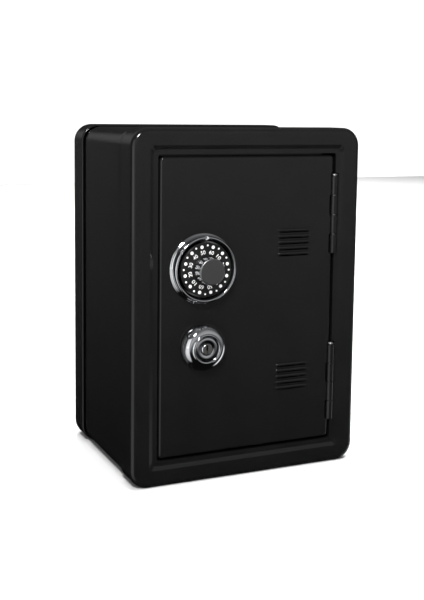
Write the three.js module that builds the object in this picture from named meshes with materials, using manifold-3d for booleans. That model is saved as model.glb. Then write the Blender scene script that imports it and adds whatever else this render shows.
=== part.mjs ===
// Toy safe coin bank: a pressed-steel cabinet with a hinged door, a combination dial and a key lock.
// Millimetres. X runs to the right, Y to the back and Z up, with the base at Z = 0.
import * as THREE from 'three';
import { mergeVertices } from 'three/addons/utils/BufferGeometryUtils.js';
import Module from 'manifold-3d';

const wasm = await Module();
wasm.setup();

// Cabinet. DEPTH runs from the frame's raised band to the back of the cover.
const WIDTH = 128;
const HEIGHT = 180;
const DEPTH = 103;
const CORNER = 9.5;
const SHEET = 0.8;
const SEAT_GAP = 0.3;

// Front frame: a raised band, a lower inner band, a return round the opening and a stop lip.
const FRAME_SKIRT = 16.5;
const FRAME_EDGE = 3;
const BAND_STEP = 0.8;
const BAND_SLOPE = 2;
const INNER_BAND = 2.4;
const LEFT_MARGIN = 13.95;
const RIGHT_MARGIN = 14.25;
const TOP_MARGIN = 13.15;
const BOTTOM_MARGIN = 13.25;
const LIP_BACK = 9;
const LIP_REACH = 3.5;

// Body wrap and back cover.
const WRAP_FRONT = 6;
const COVER_SKIRT = 21.5;
const COVER_EDGE = 9;
const WRAP_OVERLAP = 8;
const SLOT_LENGTH = 36;
const SLOT_WIDTH = 5;

// Door pan, with its louvres measured from the door's right and bottom edges.
const DOOR_GAP = 0.9;
const DOOR_CORNER = 2.4;
const DOOR_EDGE = 2;
const LOUVRE_COUNT = 5;
const LOUVRE_LENGTH = 18.7;
const LOUVRE_HEIGHT = 1.9;
const LOUVRE_PITCH = 3.05;
const LOUVRE_PROUD = 0.8;
const LOUVRE_SLIT = 0.7;
const LOUVRE_INSET = 14;
const LOUVRE_GROUPS = [36.2, 107];

// Hinges: four knuckles each, their axis in the middle of the gap.
const KNUCKLE_RADIUS = 1.9;
const KNUCKLE_COUNT = 4;
const HINGE_LENGTH = 41;
const HINGE_AXIS_DEPTH = 1;
const PIN_RADIUS = 0.9;
const PIN_HEAD_RADIUS = 1.5;
const PIN_HEAD = 0.8;
const LEAF_WIDTH = 13;
const FRAME_LEAF_WIDTH = 9;
const LOWER_HINGE_RISE = 9.8;
const UPPER_HINGE_DROP = 10.9;
const KNUCKLE_NOTCH = 0.7;

// Dial, placed from the door's left and bottom edges.
const DIAL_INSET = 23;
const DIAL_RISE = 95.7;
const KNOB_PROUD = 12;
const KNOB_BASE_RADIUS = 7;
const KNOB_FACE_RADIUS = 6;
const KNOB_ROUND = 0.8;
const DIAL_RADIUS = 13.6;
const DIAL_CLEARANCE = 0.8;
const BEZEL_RIM = 2.2;
const BEZEL_FLARE = 1.2;
const BEZEL_PROUD = 4.2;
const BEZEL_FLOOR = 0.6;
const DIAL_PROUD = 4.4;
const DIAL_THICKNESS = 2.2;
const DIAL_RIM = 0.6;
const DIAL_RIM_RISE = 0.3;
const SPINDLE_RADIUS = 2;
const BUSHING_RADIUS = 4.5;
const BUSHING_FLANGE_RADIUS = 7;
const BUSHING_FLANGE = 0.8;
const BUSHING_BACK = 6.5;
const BUSHING_NUT_RADIUS = 7.6;
const BUSHING_NUT = 2.5;
const WASHER_RADIUS = 4.6;
const WASHER = 0.6;

// Latch disc and key cam, both just behind the stop lip.
const CATCH_GAP = 0.6;
const CATCH_SHEET = 1.4;
const CATCH_OVERLAP = 3.5;
const CATCH_CLEARANCE = 2;
const DISC_HUB_RADIUS = 5;
const SCREW_SHANK_RADIUS = 1;
const SCREW_HEAD_RADIUS = 3.8;
const SCREW_HEAD = 1.5;
const SCREW_REACH = 4.5;
const SCREW_SLOT = 0.9;

// Key lock, placed from the door's left and bottom edges.
const LOCK_INSET = 23.3;
const LOCK_RISE = 55.8;
const DOME_RIM = 1.4;
const DOME_FLARE = 4.2;
const DOME_PROUD = 6;
const HOUSING_RADIUS = 6.1;
const HOUSING_PROUD = 5.4;
const HOUSING_BACK = 8;
const PLUG_RADIUS = 2.85;
const PLUG_PROUD = 5.7;
const PLUG_TAIL = 3.6;
const KEYWAY_WIDTH = 0.9;
const KEYWAY_HEIGHT = 4.4;
const KEYWAY_DEPTH = 11;
const LOCK_NUT_RADIUS = 9.6;
const LOCK_NUT = 2.7;
const CAM_WIDTH = 8;
const CAM_HUB_RADIUS = 5.5;
const WAFER_COUNT = 3;
const WAFER_PITCH = 2.4;
const WAFER_FIRST = -3.4;
const WAFER_WIDTH = 2.2;
const WAFER_HEIGHT = 4.6;
const WAFER_SHEET = 0.6;
const WAFER_WINDOW = 2.4;

// Steps round arcs, edges and turned pieces.
const ARC_STEPS = 4;
const EDGE_STEPS = 4;
const TURN_STEPS = 48;
const MERGE_DISTANCE = 1e-4;
const OVERRUN = 1;

const COLOURS = {
  paint: { color: 0x0d0d0e, roughness: 0.28, metalness: 0.1 },
  chrome: { color: 0xd6d8da, roughness: 0.12, metalness: 1 },
  dial: { color: 0x101011, roughness: 0.35, metalness: 0.1 },
  knob: { color: 0x4a4c4f, roughness: 0.3, metalness: 0.9 },
  steel: { color: 0x9a9c9e, roughness: 0.35, metalness: 1 },
  brass: { color: 0xb59a5a, roughness: 0.35, metalness: 1 },
};

// Outlines seen from the front, worked out from the sizes above.
const cabinet = { left: -WIDTH / 2, right: WIDTH / 2, bottom: 0, top: HEIGHT };
const opening = {
  left: cabinet.left + LEFT_MARGIN,
  right: cabinet.right - RIGHT_MARGIN,
  bottom: BOTTOM_MARGIN,
  top: HEIGHT - TOP_MARGIN,
};
const door = grown(opening, -DOOR_GAP);
const doorFace = BAND_STEP;
const doorSheetBack = doorFace + SHEET;
const lipFront = LIP_BACK - SHEET;
const lipEdge = opening.left + LIP_REACH;
const catchFront = LIP_BACK + CATCH_GAP;
const catchBack = catchFront + CATCH_SHEET;
const fastenerFront = doorSheetBack + SEAT_GAP;
const coverFront = DEPTH - COVER_SKIRT;
const wrapBack = coverFront + WRAP_OVERLAP;
const hingeX = opening.right - DOOR_GAP / 2;
const dialX = door.left + DIAL_INSET;
const dialZ = door.bottom + DIAL_RISE;
const lockX = door.left + LOCK_INSET;
const lockZ = door.bottom + LOCK_RISE;
const hingeSpots = {
  upper: door.top - UPPER_HINGE_DROP - HINGE_LENGTH,
  lower: door.bottom + LOWER_HINGE_RISE,
};

// A copy of an outline with every side moved out by the given amount.
function grown(outline, amount) {
  return {
    left: outline.left - amount,
    right: outline.right + amount,
    bottom: outline.bottom - amount,
    top: outline.top + amount,
  };
}

function roundedRectangle(outline, radius) {
  const { left, right, bottom, top } = outline;
  const quarter = Math.PI / 2;
  const shape = new THREE.Shape();
  shape.moveTo(left + radius, bottom);
  shape.lineTo(right - radius, bottom);
  shape.absarc(right - radius, bottom + radius, radius, -quarter, 0);
  shape.lineTo(right, top - radius);
  shape.absarc(right - radius, top - radius, radius, 0, quarter);
  shape.lineTo(left + radius, top);
  shape.absarc(left + radius, top - radius, radius, quarter, 2 * quarter);
  shape.lineTo(left, bottom + radius);
  shape.absarc(left + radius, bottom + radius, radius, 2 * quarter, 3 * quarter);
  return shape;
}

// A slot outline with half-round ends, centred on the given point.
function stadium(x, y, length, width) {
  const radius = width / 2;
  const reach = length / 2 - radius;
  const quarter = Math.PI / 2;
  const shape = new THREE.Shape();
  shape.moveTo(x - reach, y - radius);
  shape.lineTo(x + reach, y - radius);
  shape.absarc(x + reach, y, radius, -quarter, quarter);
  shape.lineTo(x - reach, y + radius);
  shape.absarc(x - reach, y, radius, quarter, 3 * quarter);
  return shape;
}

// The closed solid of a three.js geometry, ready to be joined or cut.
function solid(geometry) {
  geometry.deleteAttribute('normal');
  geometry.deleteAttribute('uv');
  const merged = mergeVertices(geometry, MERGE_DISTANCE);
  const corners = merged.index.array;
  const triangles = [];
  for (let i = 0; i < corners.length; i += 3) {
    const [a, b, c] = corners.slice(i, i + 3);
    if (a !== b && b !== c && c !== a) {
      triangles.push(a, b, c);
    }
  }
  return new wasm.Manifold(new wasm.Mesh({
    numProp: 3,
    vertProperties: new Float32Array(merged.attributes.position.array),
    triVerts: new Uint32Array(triangles),
  }));
}

// A flat outline in X and Z, carried from front to back, with both its edges rounded.
// A different spread and one step make each edge a flat slope that reaches inwards by the spread.
function slab(shape, front, back, edge = 0, spread = edge, steps = EDGE_STEPS) {
  const geometry = new THREE.ExtrudeGeometry(shape, {
    depth: back - front - 2 * edge,
    curveSegments: ARC_STEPS,
    bevelEnabled: edge > 0,
    bevelThickness: edge,
    bevelSize: spread,
    bevelOffset: -spread,
    bevelSegments: steps,
  });
  geometry.translate(0, 0, edge - back);
  geometry.rotateX(Math.PI / 2);
  return solid(geometry);
}

function block(outline, front, back) {
  const { left, right, bottom, top } = outline;
  const geometry = new THREE.BoxGeometry(right - left, back - front, top - bottom);
  geometry.translate((left + right) / 2, (front + back) / 2, (bottom + top) / 2);
  return solid(geometry);
}

// A cylinder along Y, from front to back, round the given point.
function rod(radius, front, back, x = 0, z = 0, sides = TURN_STEPS) {
  const geometry = new THREE.CylinderGeometry(radius, radius, back - front, sides);
  geometry.translate(x, (front + back) / 2, z);
  return solid(geometry);
}

// A cylinder along Z, from bottom to top.
function post(radius, bottom, top, sides = TURN_STEPS / 2) {
  const geometry = new THREE.CylinderGeometry(radius, radius, top - bottom, sides);
  geometry.rotateX(Math.PI / 2);
  geometry.translate(0, 0, (bottom + top) / 2);
  return solid(geometry);
}

// A piece turned about Y from a closed profile of [radius, depth] points.
// The profile runs outwards along the back and inwards along the front, and the lathe wants it reversed.
function turned(profile) {
  const points = profile.map(([radius, depth]) => new THREE.Vector2(radius, depth)).reverse();
  points.push(points[0].clone());
  return solid(new THREE.LatheGeometry(points, TURN_STEPS));
}

// Points on a quarter round, from one [radius, depth] point to another, leaving the first along its depth.
function quarterRound(from, to, steps = EDGE_STEPS) {
  const points = [];
  for (let i = 0; i <= steps; i += 1) {
    const angle = (Math.PI / 2) * (i / steps);
    const radius = to[0] + (from[0] - to[0]) * Math.cos(angle);
    const depth = from[1] + (to[1] - from[1]) * Math.sin(angle);
    points.push([radius, depth]);
  }
  return points;
}

// A pressed tray: closed and rounded at one end, open at the other, of one sheet thickness.
function tray(outline, corner, closed, open, edge) {
  const inwards = Math.sign(open - closed);
  const beyond = open + inwards * (edge + OVERRUN);
  const outer = between(outline, corner, closed, beyond, edge);
  const innerEdge = Math.max(edge - SHEET, 0);
  const innerCorner = Math.max(corner - SHEET, SHEET / 2);
  const inner = between(grown(outline, -SHEET), innerCorner, closed + inwards * SHEET, beyond + inwards, innerEdge);
  const spare = between(grown(outline, OVERRUN), corner, open, beyond + inwards, 0);
  return outer.subtract(inner).subtract(spare);
}

function between(outline, corner, oneEnd, otherEnd, edge) {
  const front = Math.min(oneEnd, otherEnd);
  const back = Math.max(oneEnd, otherEnd);
  return slab(roundedRectangle(outline, corner), front, back, edge);
}

function piece(name, manifold, look) {
  const cut = manifold.getMesh();
  const geometry = new THREE.BufferGeometry();
  geometry.setAttribute('position', new THREE.BufferAttribute(cut.vertProperties, 3));
  geometry.setIndex(new THREE.BufferAttribute(cut.triVerts, 1));
  geometry.computeVertexNormals();
  const mesh = new THREE.Mesh(geometry, new THREE.MeshStandardMaterial(COLOURS[look]));
  mesh.name = name;
  return mesh;
}

// The sheets on both sides of the gap are cut back from their front wherever a hinge sits.
function hingeCut(left, right, bottom, top) {
  return block({ left, right, bottom, top }, -OVERRUN, HINGE_AXIS_DEPTH + KNUCKLE_RADIUS + SEAT_GAP);
}

function hingeRoom(left, right, bottom) {
  return hingeCut(left, right, bottom - SEAT_GAP, bottom + HINGE_LENGTH + PIN_HEAD + 2 * SEAT_GAP);
}

function frontFrame() {
  const slopeTop = grown(opening, INNER_BAND + BAND_SLOPE);
  const recess = roundedRectangle(slopeTop, BAND_SLOPE + SHEET);
  const returnFlange = grown(opening, SHEET);
  const lipOpening = { ...grown(opening, -LIP_REACH), right: opening.right };
  let frame = tray(cabinet, CORNER, 0, FRAME_SKIRT, FRAME_EDGE);
  frame = frame.add(block(slopeTop, SHEET / 2, doorSheetBack));
  frame = frame.subtract(slab(recess, -OVERRUN - BAND_STEP, BAND_STEP, BAND_STEP, BAND_SLOPE, 1));
  frame = frame.add(block(returnFlange, BAND_STEP, LIP_BACK));
  frame = frame.subtract(block(opening, -OVERRUN, lipFront));
  frame = frame.subtract(block(lipOpening, -OVERRUN, LIP_BACK + OVERRUN));
  for (const bottom of Object.values(hingeSpots)) {
    const right = hingeX + KNUCKLE_RADIUS + SEAT_GAP;
    frame = frame.subtract(hingeRoom(opening.right - OVERRUN, right, bottom));
  }
  return piece('front_frame', frame, 'paint');
}

// The body sheet is a tube that slips inside the skirts of the frame and the cover.
function bodyWrap() {
  const outside = grown(cabinet, -SHEET - SEAT_GAP);
  const corner = CORNER - SHEET - SEAT_GAP;
  const outer = between(outside, corner, WRAP_FRONT, wrapBack, 0);
  const inner = between(grown(outside, -SHEET), corner - SHEET, WRAP_FRONT - OVERRUN, wrapBack + OVERRUN, 0);
  const slotShape = stadium(0, (FRAME_SKIRT + coverFront) / 2, SLOT_LENGTH, SLOT_WIDTH);
  const slot = new THREE.ExtrudeGeometry(slotShape, {
    depth: 2 * CORNER,
    curveSegments: ARC_STEPS,
    bevelEnabled: false,
  });
  slot.translate(0, 0, HEIGHT - CORNER);
  return piece('body_wrap', outer.subtract(inner).subtract(solid(slot)), 'paint');
}

function backCover() {
  return piece('back_cover', tray(cabinet, CORNER, DEPTH, coverFront, COVER_EDGE), 'paint');
}

function doorPanel() {
  let panel = tray(door, DOOR_CORNER, doorFace, lipFront - SEAT_GAP, DOOR_EDGE);
  const louvreX = door.right - LOUVRE_INSET - LOUVRE_LENGTH / 2;
  for (const rise of LOUVRE_GROUPS) {
    for (let i = 0; i < LOUVRE_COUNT; i += 1) {
      const z = door.bottom + rise + (i - (LOUVRE_COUNT - 1) / 2) * LOUVRE_PITCH;
      const hood = stadium(louvreX, z, LOUVRE_LENGTH, LOUVRE_HEIGHT);
      const slitTop = z - LOUVRE_HEIGHT / 2;
      const slit = {
        left: louvreX - LOUVRE_LENGTH / 2 + LOUVRE_HEIGHT / 2,
        right: louvreX + LOUVRE_LENGTH / 2 - LOUVRE_HEIGHT / 2,
        bottom: slitTop - LOUVRE_SLIT,
        top: slitTop,
      };
      panel = panel.add(slab(hood, doorFace - LOUVRE_PROUD, doorSheetBack, LOUVRE_PROUD * 0.9));
      panel = panel.subtract(block(slit, -OVERRUN, doorSheetBack + OVERRUN));
    }
  }
  panel = panel.subtract(rod(BUSHING_RADIUS + SEAT_GAP, -OVERRUN, doorSheetBack + OVERRUN, dialX, dialZ));
  panel = panel.subtract(rod(HOUSING_RADIUS + SEAT_GAP, -OVERRUN, doorSheetBack + OVERRUN, lockX, lockZ));
  const knuckle = HINGE_LENGTH / KNUCKLE_COUNT;
  for (const bottom of Object.values(hingeSpots)) {
    const left = hingeX - KNUCKLE_RADIUS - SEAT_GAP;
    const right = door.right + OVERRUN;
    panel = panel.subtract(hingeRoom(left, right, bottom));
    for (let i = 0; i < KNUCKLE_COUNT; i += 2) {
      const low = bottom + i * knuckle;
      panel = panel.subtract(hingeCut(left - KNUCKLE_NOTCH, right, low, low + knuckle));
    }
  }
  return piece('door_panel', panel, 'paint');
}

// One leaf: a plate behind the sheet, and knuckles on every second space along the pin.
// side is -1 for the door's leaf and 1 for the frame's, and first is its lowest space.
function hingeLeaf(name, side, first, width) {
  const knuckle = HINGE_LENGTH / KNUCKLE_COUNT;
  const front = doorSheetBack + SEAT_GAP - HINGE_AXIS_DEPTH;
  const back = front + SHEET;
  const clear = KNUCKLE_RADIUS + SEAT_GAP;
  const near = side * clear;
  const far = side * width;
  const plate = { left: Math.min(near, far), right: Math.max(near, far), bottom: 0, top: HINGE_LENGTH };
  let leaf = block(plate, front, back);
  for (let i = first; i < KNUCKLE_COUNT; i += 2) {
    const bottom = i * knuckle + SEAT_GAP / 2;
    const top = (i + 1) * knuckle - SEAT_GAP / 2;
    const reach = side * (clear + OVERRUN);
    const tab = { left: Math.min(0, reach), right: Math.max(0, reach), bottom, top };
    leaf = leaf.add(block(tab, front, back)).add(post(KNUCKLE_RADIUS, bottom, top));
  }
  leaf = leaf.subtract(post(PIN_RADIUS + SEAT_GAP, -OVERRUN, HINGE_LENGTH + OVERRUN));
  return piece(name, leaf, 'paint');
}

function hinge(place, bottom) {
  const group = new THREE.Group();
  const pin = post(PIN_RADIUS, 0, HINGE_LENGTH + SEAT_GAP + PIN_HEAD / 2);
  const head = post(PIN_HEAD_RADIUS, HINGE_LENGTH + SEAT_GAP, HINGE_LENGTH + SEAT_GAP + PIN_HEAD);
  group.add(hingeLeaf(`${place}_hinge_door_leaf`, -1, 1, LEAF_WIDTH));
  group.add(hingeLeaf(`${place}_hinge_frame_leaf`, 1, 0, FRAME_LEAF_WIDTH));
  group.add(piece(`${place}_hinge_pin`, pin.add(head), 'steel'));
  group.position.set(hingeX, HINGE_AXIS_DEPTH, bottom);
  return group;
}

// A slotted screw whose head bears on the back of a catch and whose shank runs forward.
function catchScrew(name) {
  const headFront = catchBack + SEAT_GAP;
  const headBack = headFront + SCREW_HEAD;
  const slot = {
    left: -SCREW_HEAD_RADIUS - OVERRUN,
    right: SCREW_HEAD_RADIUS + OVERRUN,
    bottom: -SCREW_SLOT / 2,
    top: SCREW_SLOT / 2,
  };
  const head = rod(SCREW_HEAD_RADIUS, headFront, headBack);
  const shank = rod(SCREW_SHANK_RADIUS, headFront - SCREW_REACH, headFront + SCREW_HEAD / 2);
  return piece(name, head.add(shank).subtract(block(slot, headFront + SCREW_HEAD / 2, headBack + OVERRUN)), 'steel');
}

function screwHole() {
  return rod(SCREW_SHANK_RADIUS + SEAT_GAP, catchBack - SCREW_REACH, catchBack + OVERRUN);
}

function dial() {
  const group = new THREE.Group();
  const base = doorFace - SEAT_GAP;
  const floor = -BEZEL_FLOOR;
  const bore = BUSHING_RADIUS + SEAT_GAP;
  const wall = DIAL_RADIUS + DIAL_CLEARANCE;
  const rim = wall + BEZEL_RIM;
  const crest = wall + BEZEL_RIM / 2;
  const bezelFront = -BEZEL_PROUD;
  const bezel = turned([
    [bore, base],
    [rim + BEZEL_FLARE, base],
    [rim + BEZEL_FLARE, base - BEZEL_FLOOR],
    ...quarterRound([rim, bezelFront + BEZEL_RIM / 2], [crest, bezelFront]),
    ...quarterRound([wall, bezelFront + BEZEL_RIM / 2], [crest, bezelFront]).reverse().slice(1),
    [wall, floor],
    [bore, floor],
  ]);
  group.add(piece('dial_bezel', bezel, 'chrome'));

  const flangeBack = floor - SEAT_GAP;
  const flangeFront = flangeBack - BUSHING_FLANGE;
  const spindleBore = SPINDLE_RADIUS + SEAT_GAP;
  const bushing = turned([
    [spindleBore, BUSHING_BACK],
    [BUSHING_RADIUS, BUSHING_BACK],
    [BUSHING_RADIUS, flangeBack],
    [BUSHING_FLANGE_RADIUS, flangeBack],
    [BUSHING_FLANGE_RADIUS, flangeFront],
    [spindleBore, flangeFront],
  ]);
  group.add(piece('dial_bushing', bushing, 'brass'));

  const nut = rod(BUSHING_NUT_RADIUS, fastenerFront, fastenerFront + BUSHING_NUT, 0, 0, 6);
  const nutBore = rod(bore, 0, fastenerFront + BUSHING_NUT + OVERRUN);
  group.add(piece('bushing_nut', nut.subtract(nutBore), 'steel'));

  const plateBack = -DIAL_PROUD + DIAL_THICKNESS;
  const face = -DIAL_PROUD + DIAL_RIM_RISE;
  const plate = turned([
    [spindleBore, plateBack],
    [DIAL_RADIUS, plateBack],
    [DIAL_RADIUS, -DIAL_PROUD],
    [DIAL_RADIUS - DIAL_RIM, -DIAL_PROUD],
    [DIAL_RADIUS - DIAL_RIM, face],
    [spindleBore, face],
  ]);
  group.add(piece('dial_plate', plate, 'dial'));

  const knobBack = face - SEAT_GAP;
  const boreEnd = -KNOB_PROUD + 3 * KNOB_ROUND;
  const knob = turned([
    [0, -KNOB_PROUD],
    [0, boreEnd],
    [spindleBore, boreEnd],
    [spindleBore, knobBack],
    [KNOB_BASE_RADIUS, knobBack],
    ...quarterRound([KNOB_FACE_RADIUS, -KNOB_PROUD + KNOB_ROUND], [KNOB_FACE_RADIUS - KNOB_ROUND, -KNOB_PROUD]),
  ]);
  group.add(piece('dial_knob', knob, 'knob'));

  const spindle = rod(SPINDLE_RADIUS, boreEnd + SEAT_GAP, catchBack).subtract(screwHole());
  group.add(piece('dial_spindle', spindle, 'steel'));

  const washerFront = BUSHING_BACK + SEAT_GAP;
  const washerBack = washerFront + WASHER;
  const washer = rod(WASHER_RADIUS, washerFront, washerBack).subtract(rod(spindleBore, 0, washerBack + OVERRUN));
  group.add(piece('spring_washer', washer, 'steel'));

  const reach = dialX - lipEdge;
  const discRadius = reach + CATCH_OVERLAP;
  const flat = {
    left: -discRadius - OVERRUN,
    right: CATCH_CLEARANCE - reach,
    bottom: -discRadius,
    top: discRadius,
  };
  let disc = rod(discRadius, catchFront, catchBack).subtract(block(flat, 0, catchBack + OVERRUN));
  disc = disc.add(rod(DISC_HUB_RADIUS, washerBack + SEAT_GAP, catchBack));
  disc = disc.subtract(rod(spindleBore, 0, catchBack + OVERRUN));
  group.add(piece('latch_disc', disc, 'steel'));
  group.add(catchScrew('disc_screw'));
  group.position.set(dialX, 0, dialZ);
  return group;
}

function keyLock() {
  const group = new THREE.Group();
  const base = doorFace - SEAT_GAP;
  const housingBore = HOUSING_RADIUS + SEAT_GAP;
  const rim = housingBore + DOME_RIM;
  const dome = turned([
    [housingBore, base],
    ...quarterRound([rim + DOME_FLARE, base - SHEET / 2], [rim, -DOME_PROUD + DOME_RIM / 2], 2 * EDGE_STEPS),
    [rim - DOME_RIM / 2, -DOME_PROUD],
    [housingBore, -DOME_PROUD + DOME_RIM / 4],
  ]);
  group.add(piece('lock_escutcheon', dome, 'chrome'));

  const plugBore = PLUG_RADIUS + SEAT_GAP;
  const housing = turned([
    [plugBore, HOUSING_BACK],
    [HOUSING_RADIUS, HOUSING_BACK],
    [HOUSING_RADIUS, -HOUSING_PROUD],
    [plugBore, -HOUSING_PROUD],
  ]);
  group.add(piece('lock_housing', housing, 'chrome'));

  const shoulder = catchFront - SEAT_GAP;
  const tail = {
    left: -PLUG_TAIL / 2,
    right: PLUG_TAIL / 2,
    bottom: -PLUG_TAIL / 2,
    top: PLUG_TAIL / 2,
  };
  const keyway = {
    left: -KEYWAY_WIDTH / 2,
    right: KEYWAY_WIDTH / 2,
    bottom: -KEYWAY_HEIGHT / 2,
    top: KEYWAY_HEIGHT / 2,
  };
  const wafer = {
    left: -WAFER_WIDTH / 2,
    right: WAFER_WIDTH / 2,
    bottom: -WAFER_HEIGHT / 2,
    top: WAFER_HEIGHT / 2,
  };
  const waferSlot = { ...grown(wafer, SEAT_GAP), bottom: -PLUG_RADIUS - OVERRUN, top: PLUG_RADIUS + OVERRUN };
  const window = { ...keyway, bottom: -WAFER_WINDOW / 2, top: WAFER_WINDOW / 2 };
  let plug = rod(PLUG_RADIUS, -PLUG_PROUD, shoulder).add(block(tail, shoulder - OVERRUN, catchBack));
  plug = plug.subtract(block(keyway, -PLUG_PROUD - OVERRUN, KEYWAY_DEPTH - PLUG_PROUD));
  plug = plug.subtract(screwHole());
  for (let i = 0; i < WAFER_COUNT; i += 1) {
    const front = WAFER_FIRST + i * WAFER_PITCH;
    const back = front + WAFER_SHEET;
    plug = plug.subtract(block(waferSlot, front - SEAT_GAP, back + SEAT_GAP));
    const plate = block(wafer, front, back).subtract(block(window, front - OVERRUN, back + OVERRUN));
    group.add(piece(`lock_wafer_${i + 1}`, plate, 'brass'));
  }
  group.add(piece('lock_plug', plug, 'chrome'));

  const nut = rod(LOCK_NUT_RADIUS, fastenerFront, fastenerFront + LOCK_NUT, 0, 0, 6);
  const nutBore = rod(housingBore, 0, fastenerFront + LOCK_NUT + OVERRUN);
  group.add(piece('lock_nut', nut.subtract(nutBore), 'steel'));

  const camLength = lockX - lipEdge + CATCH_OVERLAP;
  const arm = {
    left: -CAM_WIDTH / 2,
    right: CAM_WIDTH / 2,
    bottom: -camLength,
    top: CAM_WIDTH / 2,
  };
  let cam = slab(roundedRectangle(arm, CAM_WIDTH / 4), catchFront, catchBack);
  cam = cam.add(rod(CAM_HUB_RADIUS, catchFront, catchBack));
  cam = cam.subtract(block(grown(tail, SEAT_GAP), 0, catchBack + OVERRUN));
  group.add(piece('lock_cam', cam, 'steel'));
  group.add(catchScrew('cam_screw'));
  group.position.set(lockX, 0, lockZ);
  return group;
}

const group = new THREE.Group();
group.add(frontFrame(), bodyWrap(), backCover(), doorPanel());
for (const [place, bottom] of Object.entries(hingeSpots)) {
  group.add(hinge(place, bottom));
}
group.add(dial(), keyLock());

// The origin is under the middle of the whole box, which runs from the knob's face to the cover.
group.position.y = KNOB_PROUD - (DEPTH + KNOB_PROUD) / 2;

export default group;
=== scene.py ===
import math

import bmesh
import bpy
from mathutils import Matrix, Vector


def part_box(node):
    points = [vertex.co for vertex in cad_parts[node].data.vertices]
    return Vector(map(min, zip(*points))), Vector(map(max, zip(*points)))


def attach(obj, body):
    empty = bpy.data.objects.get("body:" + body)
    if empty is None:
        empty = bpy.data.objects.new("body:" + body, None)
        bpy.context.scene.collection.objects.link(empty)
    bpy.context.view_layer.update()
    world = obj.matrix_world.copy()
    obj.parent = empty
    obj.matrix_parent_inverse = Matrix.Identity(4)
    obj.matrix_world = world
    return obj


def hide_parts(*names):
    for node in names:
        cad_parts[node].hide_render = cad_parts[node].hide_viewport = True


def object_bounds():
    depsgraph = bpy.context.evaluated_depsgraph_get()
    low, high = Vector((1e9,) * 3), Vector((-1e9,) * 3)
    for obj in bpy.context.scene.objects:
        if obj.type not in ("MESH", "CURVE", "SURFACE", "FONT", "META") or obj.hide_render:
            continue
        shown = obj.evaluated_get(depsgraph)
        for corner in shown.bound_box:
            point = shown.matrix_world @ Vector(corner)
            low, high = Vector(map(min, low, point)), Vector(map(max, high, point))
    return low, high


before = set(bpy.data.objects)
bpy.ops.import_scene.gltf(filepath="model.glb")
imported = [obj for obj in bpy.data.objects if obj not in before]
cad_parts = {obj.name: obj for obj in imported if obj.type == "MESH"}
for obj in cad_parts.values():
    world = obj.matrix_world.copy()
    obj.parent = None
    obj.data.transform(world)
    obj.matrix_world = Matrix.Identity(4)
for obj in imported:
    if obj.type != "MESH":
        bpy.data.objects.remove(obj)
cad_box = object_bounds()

# ---- The studio -------------------------------------------------------------------------------
# A pale floor in a white room, lit by soft boxes. Paint and chrome mirror a dark room with a few
# bright patches instead. The camera stands at the safe's front left, just above its top.
mm = 0.001
bpy.ops.object.select_all(action="DESELECT")

front_low, front_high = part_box("front_frame")
view_distance = Vector((-225.66, -451.71, 187.99)) * mm
view_turn = math.radians(24.411)
view_dip = math.radians(6.433)
view_roll = math.radians(0.676)
forward = Vector((
    math.sin(view_turn) * math.cos(view_dip),
    math.cos(view_turn) * math.cos(view_dip),
    -math.sin(view_dip),
))
level = Vector((math.cos(view_turn), -math.sin(view_turn), 0))
upright = level.cross(forward)
right = level * math.cos(view_roll) + upright * math.sin(view_roll)
up = upright * math.cos(view_roll) - level * math.sin(view_roll)

bpy.ops.object.camera_add()
camera = bpy.context.object
camera.name = "camera"
camera.matrix_world = Matrix((
    (right.x, up.x, -forward.x, view_distance.x),
    (right.y, up.y, -forward.y, view_distance.y + front_low.y),
    (right.z, up.z, -forward.z, view_distance.z),
    (0, 0, 0, 1),
))
camera.data.lens = 60.12
camera.data.shift_x = -0.0028
camera.data.shift_y = -0.1267
camera.data.clip_start = 0.01
camera.data.clip_end = 20
bpy.context.scene.camera = camera
bpy.context.scene.view_settings.view_transform = "Standard"

bpy.ops.mesh.primitive_plane_add(size=4, location=(0, 0, 0))
floor = bpy.context.object
floor.name = "floor"
floor.visible_glossy = False


def soft_box(name, place, aim, width, height, watts):
    """A rectangular studio light that faces a point on the safe."""
    bpy.ops.object.light_add(type="AREA", location=place)
    lamp = bpy.context.object
    lamp.name = name
    lamp.data.shape = "RECTANGLE"
    lamp.data.size = width
    lamp.data.size_y = height
    lamp.data.energy = watts
    lamp.rotation_euler = (Vector(aim) - Vector(place)).to_track_quat("-Z", "Y").to_euler()
    return lamp


middle = (cad_box[0] + cad_box[1]) / 2
soft_box("left_box", (-1.45, -0.85, 0.45), middle, 1.2, 1.1, 3.6)
soft_box("spark_box", (-0.36, -0.62, 0.72), middle, 0.12, 0.18, 9)
top_box = soft_box("top_box", (0.2, 0.1, 1.1), (0.15, 0.05, 0), 0.9, 0.9, 9)
back_box = soft_box("back_box", (0.7, 1.2, 1.2), (0.7, 1.2, 0), 1.6, 1.6, 20)
for wide_box in (top_box, back_box):
    wide_box.data.spread = math.radians(100)
    wide_box.visible_glossy = False


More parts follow.
